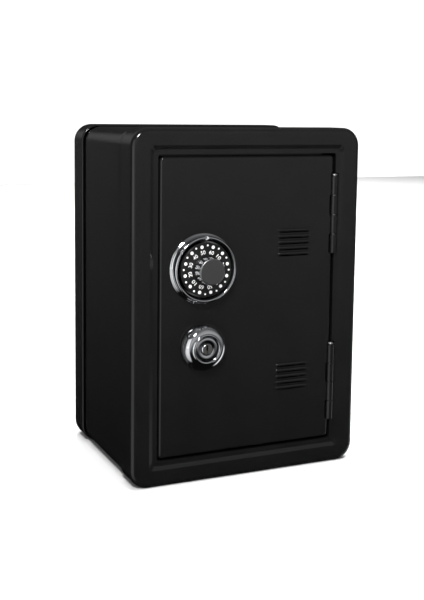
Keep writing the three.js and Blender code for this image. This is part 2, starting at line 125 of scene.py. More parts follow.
class Wire:
    """A socket of a material's nodes that takes part in ordinary arithmetic."""

    def __init__(self, tree, socket):
        self.tree = tree
        self.socket = socket

    def node(self, kind, settings, sockets, output=0):
        """Adds a node. Its settings are set first, then its sockets get values or wires."""
        added = self.tree.nodes.new(kind)
        for name, value in settings.items():
            setattr(added, name, value)
        for name, value in sockets.items():
            if isinstance(value, Wire):
                self.tree.links.new(value.socket, added.inputs[name])
            else:
                added.inputs[name].default_value = value
        return Wire(self.tree, added.outputs[output])

    def maths(self, operation, first, second=0.0):
        return self.node("ShaderNodeMath", {"operation": operation}, {0: first, 1: second})

    def __add__(self, other):
        return self.maths("ADD", self, other)

    def __radd__(self, other):
        return self.maths("ADD", other, self)

    def __sub__(self, other):
        return self.maths("SUBTRACT", self, other)

    def __rsub__(self, other):
        return self.maths("SUBTRACT", other, self)

    def __mul__(self, other):
        return self.maths("MULTIPLY", self, other)

    def __rmul__(self, other):
        return self.maths("MULTIPLY", other, self)

    def toward(self, direction):
        """How far this vector reaches in a direction."""
        sockets = {0: self, 1: direction}
        return self.node("ShaderNodeVectorMath", {"operation": "DOT_PRODUCT"}, sockets, 1)

    def noise(self, scale, detail=2.0, roughness=0.5):
        """Noise from 0 to 1 whose lumps are about 1 / scale metres across."""
        sockets = {"Vector": self, "Scale": scale, "Detail": detail, "Roughness": roughness}
        return self.node("ShaderNodeTexNoise", {}, sockets)

    def step(self, low, high):
        """0 below low, 1 above high and a straight slope between them."""
        sockets = {"Value": self, "From Min": low, "From Max": high}
        return self.node("ShaderNodeMapRange", {}, sockets)

    def blend(self, first, second):
        """The first colour where this is 0 and the second where it is 1."""
        settings = {"data_type": "RGBA"}
        sockets = {"Factor": self, 6: first, 7: second}
        return self.node("ShaderNodeMix", settings, sockets, 2)

    def bump(self, strength, distance):
        sockets = {"Height": self, "Strength": strength, "Distance": distance}
        return self.node("ShaderNodeBump", {}, sockets)


world = bpy.data.worlds.new("studio")
bpy.context.scene.world = world
world.use_nodes = True
sky = world.node_tree
way = Wire(sky, sky.nodes.new("ShaderNodeTexCoord").outputs["Generated"])
height = way.node("ShaderNodeSeparateXYZ", {}, {"Vector": way}, 2)
rising = height.step(-0.32, 0.04)
seen = way.node("ShaderNodeLightPath", {}, {}, "Is Camera Ray")
overhead = height.step(0.35, 0.85)
front = way.toward((0.41, -0.91, 0)).step(0.6, 1.0)
back_left = way.toward((-0.41, 0.91, 0)).step(0.9, 0.985)
low_right = way.toward((0.86, -0.1, -0.5)).step(0.92, 0.97)
near_left = way.toward((-0.48, -0.86, 0.15)).step(0.86, 0.96)
left = way.toward((-0.87, -0.47, -0.1)).step(0.8, 0.95)
low_left = way.toward((-0.78, -0.42, -0.46)).step(0.84, 0.93)
up_back = way.toward((-0.45, 0.78, 0.45)).step(0.9, 0.96)
glow = (0.005 + 0.02 * rising + 0.5 * (front * rising) + 0.075 * (back_left * rising)
        + 1.2 * seen + 0.15 * overhead + 1.3 * low_right + 0.8 * low_left + 0.38 * left
        + 0.38 * near_left + 0.3 * up_back)
background = sky.nodes["Background"]
background.inputs["Color"].default_value = (1, 1, 1, 1)
sky.links.new(glow.socket, background.inputs["Strength"])


def finish(name, steady, varied):
    """A material: steady sets the shader's own sockets, and varied makes wires from the place."""
    material = bpy.data.materials.new(name)
    material.use_nodes = True
    tree = material.node_tree
    shader = tree.nodes["Principled BSDF"]
    for socket, value in steady.items():
        shader.inputs[socket].default_value = value
    place = Wire(tree, tree.nodes.new("ShaderNodeTexCoord").outputs["Object"])
    for socket, wire in varied(place).items():
        tree.links.new(wire.socket, shader.inputs[socket])
    return material


def floor_paper(place):
    return {"Roughness": 0.55 + 0.1 * place.noise(40)}


paper = finish("floor_paper", {"Base Color": (0.86, 0.86, 0.86, 1)}, floor_paper)
floor.data.materials.append(paper)


# ---- Front frame ------------------------------------------------------------------------------
# One steel pressing: a raised outer band slopes down to a lower inner band, turns back round the
# door opening and ends in a stop lip. Its skirt wraps over the body and is rolled in at the back.
sheet = 0.8 * mm
seat_gap = 0.3 * mm
frame_corner = 9.5 * mm
frame_edge = 3 * mm
skirt_roll = 0.9 * mm
band_step = 0.8 * mm
band_slope = 2 * mm
inner_band = 2.4 * mm
door_gap = 0.9 * mm
lip_reach = 3.5 * mm
lip_back = front_low.y + 9 * mm
door_low, door_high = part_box("door_panel")
door_face = front_low.y + band_step
opening_low = Vector((door_low.x - door_gap, 0, door_low.z - door_gap))
opening_high = Vector((door_high.x + door_gap, 0, door_high.z + door_gap))
hinge_low, hinge_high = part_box("upper_hinge_frame_leaf")
lower_low, lower_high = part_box("lower_hinge_frame_leaf")
knuckle = 1.9 * mm
hinge_x = hinge_low.x + knuckle
hinge_y = hinge_low.y + knuckle
hinge_spans = [(lower_low.z, lower_high.z), (hinge_low.z, hinge_high.z)]
pin_room = 1.4 * mm
spare = 1 * mm


def only(piece):
    """Makes one object the only selected one and the active one."""
    bpy.ops.object.select_all(action="DESELECT")
    piece.select_set(True)
    bpy.context.view_layer.objects.active = piece


def keep_place(piece, name):
    """Moves an object's place, turn and scale into its mesh, and names it."""
    only(piece)
    bpy.ops.object.transform_apply(location=True, rotation=True, scale=True)
    piece.name = name
    piece.data.name = name
    return piece


def block(name, low, high):
    """A cube primitive that fills the space between two corners."""
    low = Vector(low)
    high = Vector(high)
    bpy.ops.object.select_all(action="DESELECT")
    bpy.ops.mesh.primitive_cube_add(size=1, location=(low + high) / 2, scale=high - low)
    return keep_place(bpy.context.object, name)


def pick(piece, kind, wanted):
    """Goes into edit mode with the wanted vertices, edges or faces selected, and no others."""
    only(piece)
    bpy.ops.object.mode_set(mode="EDIT")
    bpy.ops.mesh.select_mode(type=kind)
    bpy.ops.mesh.select_all(action="DESELECT")
    mesh = bmesh.from_edit_mesh(piece.data)
    items = {"VERT": mesh.verts, "EDGE": mesh.edges, "FACE": mesh.faces}[kind]
    for item in items:
        if wanted(item):
            item.select_set(True)
    mesh.select_flush_mode()
    bmesh.update_edit_mesh(piece.data)


def leave_edit():
    bpy.ops.object.mode_set(mode="OBJECT")


def near(value, target, reach=1e-5):
    return abs(value - target) < reach


def runs_along(edge, axis):
    """Whether an edge is straight along one axis, 0, 1 or 2."""
    way = edge.verts[0].co - edge.verts[1].co
    return all(abs(way[i]) < 1e-6 for i in range(3) if i != axis) and abs(way[axis]) > 1e-6


def round_edges(piece, wanted, radius, segments):
    pick(piece, "EDGE", wanted)
    bpy.ops.mesh.bevel(offset=radius, segments=segments, profile=0.5, clamp_overlap=False)
    leave_edit()


def at_depth(item, depth):
    return all(near(vertex.co.y, depth) for vertex in item.verts)


def apply_modifier(piece, kind, settings):
    only(piece)
    modifier = piece.modifiers.new(kind.lower(), kind)
    for name, value in settings.items():
        setattr(modifier, name, value)
    bpy.ops.object.modifier_apply(modifier=modifier.name)


def combine(piece, tool, operation):
    """Cuts the tool out of a piece or joins it on, and takes the tool away."""
    apply_modifier(piece, "BOOLEAN", {"operation": operation, "object": tool, "solver": "EXACT"})
    bpy.data.objects.remove(tool)


def soften(piece, width, segments=2, angle=30):
    """Rounds every edge that is sharper than the angle, so that it catches the light."""
    settings = {
        "width": width,
        "segments": segments,
        "limit_method": "ANGLE",
        "angle_limit": math.radians(angle),
        "use_clamp_overlap": True,
        "miter_outer": "MITER_ARC",
    }
    apply_modifier(piece, "BEVEL", settings)


def smooth(piece, angle=35):
    """Smooth shading that keeps flat faces flat."""
    only(piece)
    bpy.ops.object.shade_smooth_by_angle(angle=math.radians(angle))
    apply_modifier(piece, "WEIGHTED_NORMAL", {"keep_sharp": True, "weight": 100})


def pressed_box(name, low, high, corner, edge, closed_depth, open_depth, roll):
    """A closed box with rounded corners, a rounded closed end and a rolled-in open end."""
    shell = block(name, low, high)
    round_edges(shell, lambda item: runs_along(item, 1), corner, 12)
    round_edges(shell, lambda item: at_depth(item, closed_depth), edge, 10)
    if roll:
        round_edges(shell, lambda item: at_depth(item, open_depth), roll, 4)
    return shell


def open_end(shell, depth):
    """Takes away the flat face at one depth, which leaves the shell open there."""
    pick(shell, "FACE", lambda item: at_depth(item, depth))
    bpy.ops.mesh.delete(type="FACE")
    leave_edit()


def thicken(shell, thickness):
    settings = {"thickness": thickness, "offset": -1, "use_even_offset": True}
    apply_modifier(shell, "SOLIDIFY", settings)


front_frame = pressed_box("front_frame_shell", front_low, front_high, frame_corner, frame_edge,
                          front_low.y, front_high.y, skirt_roll)
recess = block("recess", opening_low + Vector((-inner_band, front_low.y - band_step, -inner_band)),
               opening_high + Vector((inner_band, front_low.y + band_step, inner_band)))
recess_size = recess.dimensions
recess_middle = (opening_low + opening_high) / 2
pick(recess, "FACE", lambda item: at_depth(item, front_low.y - band_step))
bpy.ops.transform.resize(
    value=((recess_size.x + 4 * band_slope) / recess_size.x, 1,
           (recess_size.z + 4 * band_slope) / recess_size.z),
    center_override=(recess_middle.x, front_low.y - band_step, recess_middle.z),
)
leave_edit()
round_edges(recess, lambda item: not near(item.verts[0].co.y, item.verts[1].co.y), 2 * mm, 6)
combine(front_frame, recess, "DIFFERENCE")
opening = block("opening", opening_low + Vector((0, front_low.y - spare, 0)),
                opening_high + Vector((0, front_high.y + spare, 0)))
round_edges(opening, lambda item: runs_along(item, 1), 1.5 * mm, 5)
combine(front_frame, opening, "DIFFERENCE")
open_end(front_frame, front_high.y)


def in_opening(vertex):
    inside_x = opening_low.x - spare < vertex.co.x < opening_high.x + spare
    inside_z = opening_low.z - spare < vertex.co.z < opening_high.z + spare
    return near(vertex.co.y, front_high.y) and inside_x and inside_z


pick(front_frame, "VERT", in_opening)
bpy.ops.transform.translate(value=(0, lip_back - front_high.y, 0))
leave_edit()
soften(front_frame, 0.55 * mm, 3, 16)
thicken(front_frame, sheet)
lip = block("lip", opening_low + Vector((-sheet / 2, lip_back - sheet, -sheet / 2)),
            opening_high + Vector((sheet / 2, lip_back, sheet / 2)))
lip_cut = block("lip_cut", opening_low + Vector((lip_reach, lip_back - 2 * sheet, lip_reach)),
                opening_high + Vector((2 * spare, lip_back + sheet, -lip_reach)))
round_edges(lip_cut, lambda item: runs_along(item, 1), 3 * mm, 6)
combine(lip, lip_cut, "DIFFERENCE")
combine(front_frame, lip, "UNION")
for bottom, top in hinge_spans:
    room = block("room", (opening_high.x - spare, front_low.y - spare, bottom - seat_gap),
                 (hinge_x + knuckle + seat_gap, hinge_y + knuckle + seat_gap, top + pin_room))
    combine(front_frame, room, "DIFFERENCE")
smooth(front_frame)


def gloss_black(place):
    """Sprayed enamel: deep black with a faint orange peel and a few smears in its gloss."""
    peel = place.noise(700, 1.0)
    smears = place.noise(60, 3.0, 0.6)
    tone = smears.step(0.3, 0.8).blend((0.0048, 0.0048, 0.005, 1), (0.006, 0.006, 0.0062, 1))
    return {
        "Base Color": tone,
        "Roughness": 0.1 + 0.08 * smears,
        "Normal": peel.bump(0.02, 0.1 * mm),
    }


black_enamel = finish("black_enamel", {"IOR": 1.4}, gloss_black)
front_frame.data.materials.append(black_enamel)
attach(front_frame, "cabinet")
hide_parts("front_frame")


# ---- Body wrap --------------------------------------------------------------------------------
# One steel strip folded round the body and tucked under the frame's and the cover's skirts, with
# the coin slot punched in its top. It is necked in a little where it runs under each skirt.
wrap_low, wrap_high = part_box("body_wrap")
cover_low, cover_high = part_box("back_cover")
wrap_corner = frame_corner - sheet - seat_gap
slot_length = 36 * mm
slot_width = 5 * mm
slot_y = (front_high.y + cover_low.y) / 2
neck_depth = 1 * mm
neck_run = 6.5 * mm
neck_steps = 10

body_wrap = block("body_wrap_shell", wrap_low, wrap_high)
round_edges(body_wrap, lambda item: runs_along(item, 1), wrap_corner, 12)
open_end(body_wrap, wrap_low.y)
open_end(body_wrap, wrap_high.y)
wrap_size = body_wrap.dimensions.copy()
wrap_middle = (wrap_low + wrap_high) / 2


def neck_in(depth, drop):
    """Draws the ring of the wrap's vertices at one depth inwards."""
    pick(body_wrap, "VERT", lambda item: near(item.co.y, depth))
    bpy.ops.transform.resize(value=(1 - 2 * drop / wrap_size.x, 1, 1 - 2 * drop / wrap_size.z),
                             center_override=wrap_middle)
    leave_edit()


for skirt_end, way_in in ((front_high.y, 1), (cover_low.y, -1)):
    rings = [skirt_end + way_in * neck_run * (1 - i / neck_steps) for i in range(neck_steps + 1)]
    for ring in rings:
        pick(body_wrap, "VERT", lambda item: True)
        bpy.ops.mesh.bisect(plane_co=(0, ring, 0), plane_no=(0, 1, 0))
        leave_edit()
    for i, ring in enumerate(rings):
        neck_in(ring, neck_depth * (i / neck_steps) ** 2)
neck_in(wrap_low.y, neck_depth)
neck_in(wrap_high.y, neck_depth)
thicken(body_wrap, sheet)
slot_cut = block("slot_cut", (-slot_length / 2, slot_y - slot_width / 2, wrap_high.z - 3 * sheet),
                 (slot_length / 2, slot_y + slot_width / 2, wrap_high.z + sheet))
round_edges(slot_cut, lambda item: runs_along(item, 2), slot_width / 2 * 0.995, 8)
combine(body_wrap, slot_cut, "DIFFERENCE")
soften(body_wrap, 0.25 * mm, 3, 50)
smooth(body_wrap)
body_wrap.data.materials.append(black_enamel)
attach(body_wrap, "cabinet")
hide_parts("body_wrap")


# ---- Back cover -------------------------------------------------------------------------------
# A deep-drawn steel dish with a broad rounded rear edge. Its rim is rolled in where it grips the
# body wrap.
cover_edge = 9 * mm

back_cover = pressed_box("back_cover_shell", cover_low, cover_high, frame_corner, cover_edge,
                         cover_high.y, cover_low.y, skirt_roll)
open_end(back_cover, cover_low.y)
thicken(back_cover, sheet)
smooth(back_cover)
back_cover.data.materials.append(black_enamel)
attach(back_cover, "cabinet")
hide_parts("back_cover")


# ---- Door panel -------------------------------------------------------------------------------
# A steel pan with softly rounded edges, pierced for the dial and the lock and cut back for the
# hinges. Two groups of five louvres are pressed out of it, each open along its lower edge.
door_corner = 2.4 * mm
door_edge = 2 * mm
dial_axis = (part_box("dial_knob")[0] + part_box("dial_knob")[1]) / 2
lock_axis = (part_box("lock_housing")[0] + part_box("lock_housing")[1]) / 2
louvre_count = 5
louvre_length = 18.7 * mm
louvre_height = 1.9 * mm
louvre_pitch = 3.05 * mm
louvre_groups = [door_low.z + 36.2 * mm, door_low.z + 107 * mm]
louvre_proud = door_face - door_low.y
louvre_wall = 0.6 * mm
louvre_inset = 14 * mm
slit_low = 1.38 * mm
slit_high = 0.68 * mm
bead_end = 1.2
notch = 0.7 * mm
dial_hole = 4.8 * mm
lock_hole = 6.4 * mm

door_panel = pressed_box("door_panel_shell", (door_low.x, door_face, door_low.z), door_high,
                         door_corner, door_edge, door_face, door_high.y, 0)
open_end(door_panel, door_high.y)
thicken(door_panel, sheet)


def capsule(name, x, y, z, length, height, depth):
    """A long bead along X whose ends are drawn out."""
    bpy.ops.object.select_all(action="DESELECT")
    bpy.ops.mesh.primitive_uv_sphere_add(segments=16, ring_count=12, radius=height / 2,
                                         rotation=(0, math.pi / 2, 0))
    bead = keep_place(bpy.context.object, name)
    bead.scale = (bead_end, 1, 1)
    keep_place(bead, name)
    pull = (length - bead_end * height) / 2
    for side in (-1, 1):
        pick(bead, "VERT", lambda item: item.co.x * side > 1e-6)
        bpy.ops.transform.translate(value=(side * pull, 0, 0))
        leave_edit()
    bead.scale = (1, depth / height, 1)
    bead.location = (x, y, z)
    return keep_place(bead, name)


def joined(pieces, name):
    """Joins separate objects into one."""
    only(pieces[0])
    for piece in pieces:
        piece.select_set(True)
    bpy.ops.object.join()
    return keep_place(bpy.context.object, name)


louvre_x = door_high.x - louvre_inset - louvre_length / 2
louvre_rows = [group + (i - (louvre_count - 1) / 2) * louvre_pitch
               for group in louvre_groups for i in range(louvre_count)]
hoods = [capsule("hood", louvre_x, door_face, z, louvre_length, louvre_height, 2 * louvre_proud)
         for z in louvre_rows]
combine(door_panel, joined(hoods, "hoods"), "UNION")
hollows = [capsule("hollow", louvre_x, door_face + louvre_wall, z - 0.1 * mm, louvre_length - 0.9 * mm,
                   louvre_height - 0.7 * mm, 2 * louvre_proud) for z in louvre_rows]
combine(door_panel, joined(hollows, "hollows"), "DIFFERENCE")
slit_reach = (louvre_length - louvre_height) / 2
slits = [block("slit", (louvre_x - slit_reach, door_low.y - spare, z - slit_low),
               (louvre_x + slit_reach, door_face + sheet + spare, z - slit_high))
         for z in louvre_rows]
combine(door_panel, joined(slits, "slits"), "DIFFERENCE")


def drill(piece, axis, radius, front, back, sides=64):
    """Drills a hole along Y between two depths behind the frame's face."""
    bpy.ops.object.select_all(action="DESELECT")
    middle_y = front_low.y + (front + back) / 2
    bpy.ops.mesh.primitive_cylinder_add(vertices=sides, radius=radius, depth=back - front,
                                        location=(axis.x, middle_y, axis.z),
                                        rotation=(math.pi / 2, 0, 0))
    combine(piece, keep_place(bpy.context.object, "hole"), "DIFFERENCE")


door_front = door_low.y - front_low.y - spare
door_behind = door_face - front_low.y + sheet + spare
drill(door_panel, dial_axis, dial_hole, door_front, door_behind)
drill(door_panel, lock_axis, lock_hole, door_front, door_behind)
hinge_left = hinge_x - knuckle - seat_gap
for bottom, top in hinge_spans:
    space = (top - bottom) / 4
    room = block("room", (hinge_left, door_low.y - spare, bottom - seat_gap),
                 (door_high.x + spare, hinge_y + knuckle + seat_gap, top + pin_room))
    combine(door_panel, room, "DIFFERENCE")
    for i in (0, 2):
        room = block("room", (hinge_left - notch, door_low.y - spare, bottom + i * space),
                     (door_high.x + spare, hinge_y + knuckle + seat_gap, bottom + (i + 1) * space))
        combine(door_panel, room, "DIFFERENCE")
smooth(door_panel)
door_panel.data.materials.append(black_enamel)
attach(door_panel, "door")
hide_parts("door_panel")


# ---- Hinges -----------------------------------------------------------------------------------
# Two steel butt hinges, spot-welded behind the door's and the frame's edges. Each leaf is cut into
# tabs that are curled round the pin, and the door's curls alternate with the frame's.
hinge_length = hinge_high.z - hinge_low.z
hinge_space = hinge_length / 4
pin_radius = 0.9 * mm
curl_gap = 0.2 * mm
plate_front = hinge_y + 0.9 * mm
curl_turn = math.radians(318)
tab_lap = 0.4 * mm
leaf_corner = 1.5 * mm


def curled_leaf(name, body, first):
    """A hinge leaf: a flat plate with two tabs that are curled round the pin."""
    low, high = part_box(name)
    side = 1 if high.x - hinge_x > hinge_x - low.x else -1
    clear = hinge_x + side * (knuckle + seat_gap)
    far = high.x if side > 0 else low.x
    leaf = block(name + "_plate", (min(clear, far), plate_front, low.z),
                 (max(clear, far), plate_front + sheet, low.z + hinge_length))
    round_edges(leaf, lambda item: runs_along(item, 1) and near(item.verts[0].co.x, far),
                leaf_corner, 5)
    for i in (first, first + 2):
        bottom = low.z + i * hinge_space + seat_gap / 2
        top = low.z + (i + 1) * hinge_space - seat_gap / 2
        inner = hinge_y + pin_radius + curl_gap
        curl = block("curl", (min(hinge_x, clear), inner, bottom),
                     (max(hinge_x, clear), inner + sheet, top))
        pick(curl, "FACE", lambda item: all(near(vertex.co.x, hinge_x) for vertex in item.verts))
        bpy.ops.mesh.spin(steps=24, angle=side * curl_turn, axis=(0, 0, 1),
                          center=(hinge_x, hinge_y, 0))
        bpy.ops.mesh.select_all(action="SELECT")
        bpy.ops.mesh.remove_doubles(threshold=1e-6)
        bpy.ops.mesh.normals_make_consistent(inside=False)
        leave_edit()
        combine(leaf, curl, "UNION")
        tab_ends = sorted((clear - side * tab_lap, clear + side * spare))
        tab = block("tab", (tab_ends[0], plate_front, bottom),
                    (tab_ends[1], plate_front + sheet, top))
        combine(leaf, tab, "UNION")
    soften(leaf, 0.12 * mm, 2, 50)
    smooth(leaf)
    keep_place(leaf, name)
    leaf.data.materials.append(black_enamel)
    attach(leaf, body)
    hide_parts(name)


for place in ("upper", "lower"):
    curled_leaf(place + "_hinge_frame_leaf", "cabinet", 0)
    curled_leaf(place + "_hinge_door_leaf", "door", 1)


# ---- Hinge pins -------------------------------------------------------------------------------
# Zinc-plated steel pins with a low domed head, dropped in from above and held by their own head.
pin_head = 0.8 * mm
pin_head_radius = 1.5 * mm


def zinc_plate(place):
    """Dull silvery plating with a cloudy gloss."""
    cloud = place.noise(350, 3.0)
    tone = cloud.blend((0.42, 0.43, 0.45, 1), (0.6, 0.6, 0.6, 1))
    return {"Base Color": tone, "Roughness": 0.28 + 0.16 * cloud}


zinc_steel = finish("zinc_steel", {"Metallic": 1.0}, zinc_plate)


def face_outwards(piece):
    """Turns all faces of a closed piece outwards."""
    pick(piece, "FACE", lambda item: True)
    bpy.ops.mesh.normals_make_consistent(inside=False)
    leave_edit()


def turned(name, axis, profile, bored=False, sides=96, upright=False):
    """A solid turned about the dial's or the lock's axis, or about an upright line. Each step of
    the profile is a radius and a depth behind the frame's face, or a height. A bored profile
    goes all the way round its wall."""
    along = 2 if upright else 1
    centre = Vector(axis)
    start = 0 if upright else front_low.y
    radius, depth = profile[0]
    centre[along] = start + depth
    bpy.ops.object.select_all(action="DESELECT")
    bpy.ops.mesh.primitive_circle_add(vertices=sides, radius=radius, fill_type="NGON",
                                      location=centre,
                                      rotation=(0 if upright else math.pi / 2, 0, 0))
    turning = keep_place(bpy.context.object, name)
    bpy.ops.object.mode_set(mode="EDIT")
    bpy.ops.mesh.select_all(action="SELECT")
    for next_radius, next_depth in profile[1:]:
        shift = Vector((0, 0, 0))
        shift[along] = next_depth - depth
        bpy.ops.mesh.extrude_region_move(TRANSFORM_OT_translate={"value": shift})
        scale = Vector((1, 1, 1)) * (next_radius / radius)
        scale[along] = 1
        centre[along] = start + next_depth
        bpy.ops.transform.resize(value=scale, center_override=centre)
        radius, depth = next_radius, next_depth
    leave_edit()
    if bored:
        pick(turning, "FACE", lambda item: len(item.verts) > 4)
        bpy.ops.mesh.delete(type="FACE")
        leave_edit()
        pick(turning, "EDGE", lambda item: item.is_boundary)
        bpy.ops.mesh.bridge_edge_loops()
        leave_edit()
    face_outwards(turning)
    return turning


for place in ("upper", "lower"):
    pin_low, pin_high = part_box(place + "_hinge_pin")
    under_head = pin_high.z - pin_head
    pin = turned(place + "_pin", (hinge_x, hinge_y, 0), [
        (pin_radius * 0.7, pin_low.z),
        (pin_radius, pin_low.z + 0.3 * mm),
        (pin_radius, under_head),
        (pin_head_radius, under_head),
        (pin_head_radius, under_head + 0.3 * mm),
        (pin_head_radius * 0.8, under_head + 0.65 * mm),
        (pin_head_radius * 0.4, pin_high.z),
    ], sides=48, upright=True)
    soften(pin, 0.08 * mm, 2, 30)
    smooth(pin)
    pin.data.materials.append(zinc_steel)
    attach(pin, "cabinet")
    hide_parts(place + "_hinge_pin")


# ---- Dial bezel -------------------------------------------------------------------------------
# A spun and chromed brass cup that is clamped to the door by the bushing. A thin flange spreads
# on the door, and a notch in the rim marks where the number is read.


def half_width(node):
    low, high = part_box(node)
    return (high.x - low.x) / 2


bezel_flare = half_width("dial_bezel")
bezel_rim = bezel_flare - 1.2 * mm
bezel_wall = bezel_rim - 2.2 * mm
bezel_crest = bezel_rim - 0.8 * mm
bezel_proud = 4.2 * mm
bezel_floor = -0.6 * mm
bezel_base = door_face - front_low.y - seat_gap


def depths(node):
    """The front and the back of a CAD node, as depths behind the frame's face."""
    low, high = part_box(node)
    return low.y - front_low.y, high.y - front_low.y


def bend(start, end, steps=8):
    """The points of a quarter turn that leaves start along the axis and meets end squarely."""
    points = []
    for i in range(steps + 1):
        turn = math.pi / 2 * i / steps
        points.append((end[0] + (start[0] - end[0]) * math.cos(turn),
                       start[1] + (end[1] - start[1]) * math.sin(turn)))
    return points


dial_bezel = turned("dial_cup", dial_axis, [
    (dial_hole, bezel_base),
    (bezel_flare, bezel_base),
    (bezel_flare, bezel_base - 0.35 * mm),
    (bezel_flare - 0.25 * mm, bezel_base - 0.6 * mm),
    (bezel_rim + 0.5 * mm, bezel_base - 0.75 * mm),
    (bezel_rim + 0.1 * mm, bezel_base - 1.1 * mm),
    *bend((bezel_rim, -bezel_proud + 0.9 * mm), (bezel_crest, -bezel_proud)),
    (bezel_crest - 0.35 * mm, -bezel_proud + 0.1 * mm),
    (bezel_crest - 0.6 * mm, -bezel_proud + 0.45 * mm),
    (bezel_wall + 0.25 * mm, -bezel_proud + 1.25 * mm),
    (bezel_wall, -bezel_proud + 1.6 * mm),
    (bezel_wall, bezel_floor - 0.4 * mm),
    (bezel_wall - 0.4 * mm, bezel_floor),
    (dial_hole, bezel_floor),
], bored=True, sides=128)
notch_tool = block("index_notch", (-0.9 * mm, -0.9 * mm, -2 * mm),
                   (0.9 * mm, 0.9 * mm, 2 * mm))
notch_tool.rotation_euler = (0, 0, math.pi / 4)
notch_tool.location = (dial_axis.x, front_low.y - bezel_proud, dial_axis.z + bezel_crest)
keep_place(notch_tool, "index_notch")
combine(dial_bezel, notch_tool, "DIFFERENCE")
soften(dial_bezel, 0.08 * mm, 2, 40)
smooth(dial_bezel, 40)


def chrome_plate(place):
    """Bright chrome with a trace of waviness and a little haze here and there."""
    haze = place.noise(160, 3.0)
    wave = place.noise(110, 1.0)
    return {
        "Roughness": 0.035 + 0.07 * haze.step(0.4, 0.75),
        "Normal": wave.bump(0.04, 0.15 * mm),
    }


chrome = finish("chrome", {"Base Color": (0.6, 0.61, 0.63, 1), "Metallic": 1.0}, chrome_plate)
dial_bezel.data.materials.append(chrome)
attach(dial_bezel, "door")
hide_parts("dial_bezel")


# ---- Dial bushing -----------------------------------------------------------------------------
# A turned brass bushing: its flange holds the bezel from the front, its threaded barrel passes
# through the door, and the dial's spindle turns inside it.
bushing_flange = 7 * mm
bushing_radius = 4.5 * mm
bushing_back = 6.5 * mm
spindle_bore = 2.3 * mm
flange_back = bezel_floor - seat_gap
thread_pitch = 0.7 * mm
thread_depth = 0.32 * mm


def thread(radius, front, back):
    """The rings of a screw thread from front to back."""
    points = []
    count = int((back - front) / thread_pitch)
    for i in range(count):
        start = front + i * thread_pitch
        points.append((radius, start))
        points.append((radius - thread_depth, start + thread_pitch / 2))
    points.append((radius, front + count * thread_pitch))
    return points


dial_bushing = turned("threaded_bushing", dial_axis, [
    (spindle_bore, bushing_back),
    (bushing_radius - 0.3 * mm, bushing_back),
    *thread(bushing_radius, 1.3 * mm, bushing_back - 0.2 * mm)[::-1],
    (bushing_radius, flange_back),
    (bushing_flange, flange_back),
    (bushing_flange, flange_back - 0.55 * mm),
    (bushing_flange - 0.25 * mm, flange_back - 0.8 * mm),
    (spindle_bore, flange_back - 0.8 * mm),
], bored=True, sides=64)
smooth(dial_bushing, 30)


def turned_brass(place):
    """Brass with a faint tarnish."""
    tarnish = place.noise(300, 3.0)
    tone = tarnish.step(0.3, 0.75).blend((0.72, 0.52, 0.24, 1), (0.56, 0.38, 0.17, 1))
    return {"Base Color": tone, "Roughness": 0.22 + 0.14 * tarnish}


brass = finish("brass", {"Metallic": 1.0}, turned_brass)
dial_bushing.data.materials.append(brass)
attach(dial_bushing, "door")
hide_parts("dial_bushing")


# ---- Nuts -------------------------------------------------------------------------------------
# Two thin zinc-plated hexagon nuts, one on the bushing and one on the lock's housing. They pull
# the bezel and the escutcheon against the door from behind.
def hexagon_nut(node, axis, bore):
    low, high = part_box(node)
    wide = high.x - low.x > high.z - low.z
    radius = max(high.x - low.x, high.z - low.z) / 2
    front, back = depths(node)
    nut = turned(node + "_hexagon", axis, [(radius, front), (radius, back)], sides=6)
    points_wide = any(near(vertex.co.z, axis.z, 1e-5) for vertex in nut.data.vertices)
    if points_wide != wide:
        nut.rotation_euler = (0, math.radians(30), 0)
        nut.location = axis - Matrix.Rotation(math.radians(30), 3, "Y") @ axis
        keep_place(nut, node + "_hexagon")
    flat = radius * 0.87
    crown = turned("crown", axis, [
        (flat, front - 0.01 * mm),
        (radius * 1.01, front + 0.55 * mm),
        (radius * 1.01, back - 0.55 * mm),
        (flat, back + 0.01 * mm),
    ], sides=64)
    combine(nut, crown, "INTERSECT")
    drill(nut, axis, bore, front - spare, back + spare)
    soften(nut, 0.1 * mm, 2, 28)
    smooth(nut)
    nut.data.materials.append(zinc_steel)
    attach(nut, "door")
    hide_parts(node)


hexagon_nut("bushing_nut", dial_axis, dial_hole)
hexagon_nut("lock_nut", lock_axis, lock_hole)


# ---- Dial plate -------------------------------------------------------------------------------
# A black enamelled disc with a low raised rim. It turns with the knob inside the bezel.
dial_radius = half_width("dial_plate")
dial_rim = 0.6 * mm
dial_front = -4.4 * mm
dial_face = dial_front + 0.3 * mm
dial_back = dial_front + 2.2 * mm

dial_plate = turned("number_disc", dial_axis, [
    (spindle_bore, dial_back),
    (dial_radius - 0.3 * mm, dial_back),
    (dial_radius, dial_back - 0.3 * mm),
    (dial_radius, dial_front + 0.2 * mm),
    (dial_radius - 0.2 * mm, dial_front),
    (dial_radius - dial_rim + 0.15 * mm, dial_front),
    (dial_radius - dial_rim, dial_face),
    (spindle_bore, dial_face),
], bored=True, sides=128)
soften(dial_plate, 0.06 * mm, 2, 30)
smooth(dial_plate)


def dial_black(place):
    """Smooth black enamel, a little duller than the body's."""
    film = place.noise(120, 2.0)
    tone = film.blend((0.006, 0.006, 0.0062, 1), (0.009, 0.009, 0.0093, 1))
    return {"Base Color": tone, "Roughness": 0.24 + 0.1 * film}


dial_enamel = finish("dial_enamel", {"IOR": 1.4}, dial_black)
dial_plate.data.materials.append(dial_enamel)
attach(dial_plate, "dial")
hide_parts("dial_plate")


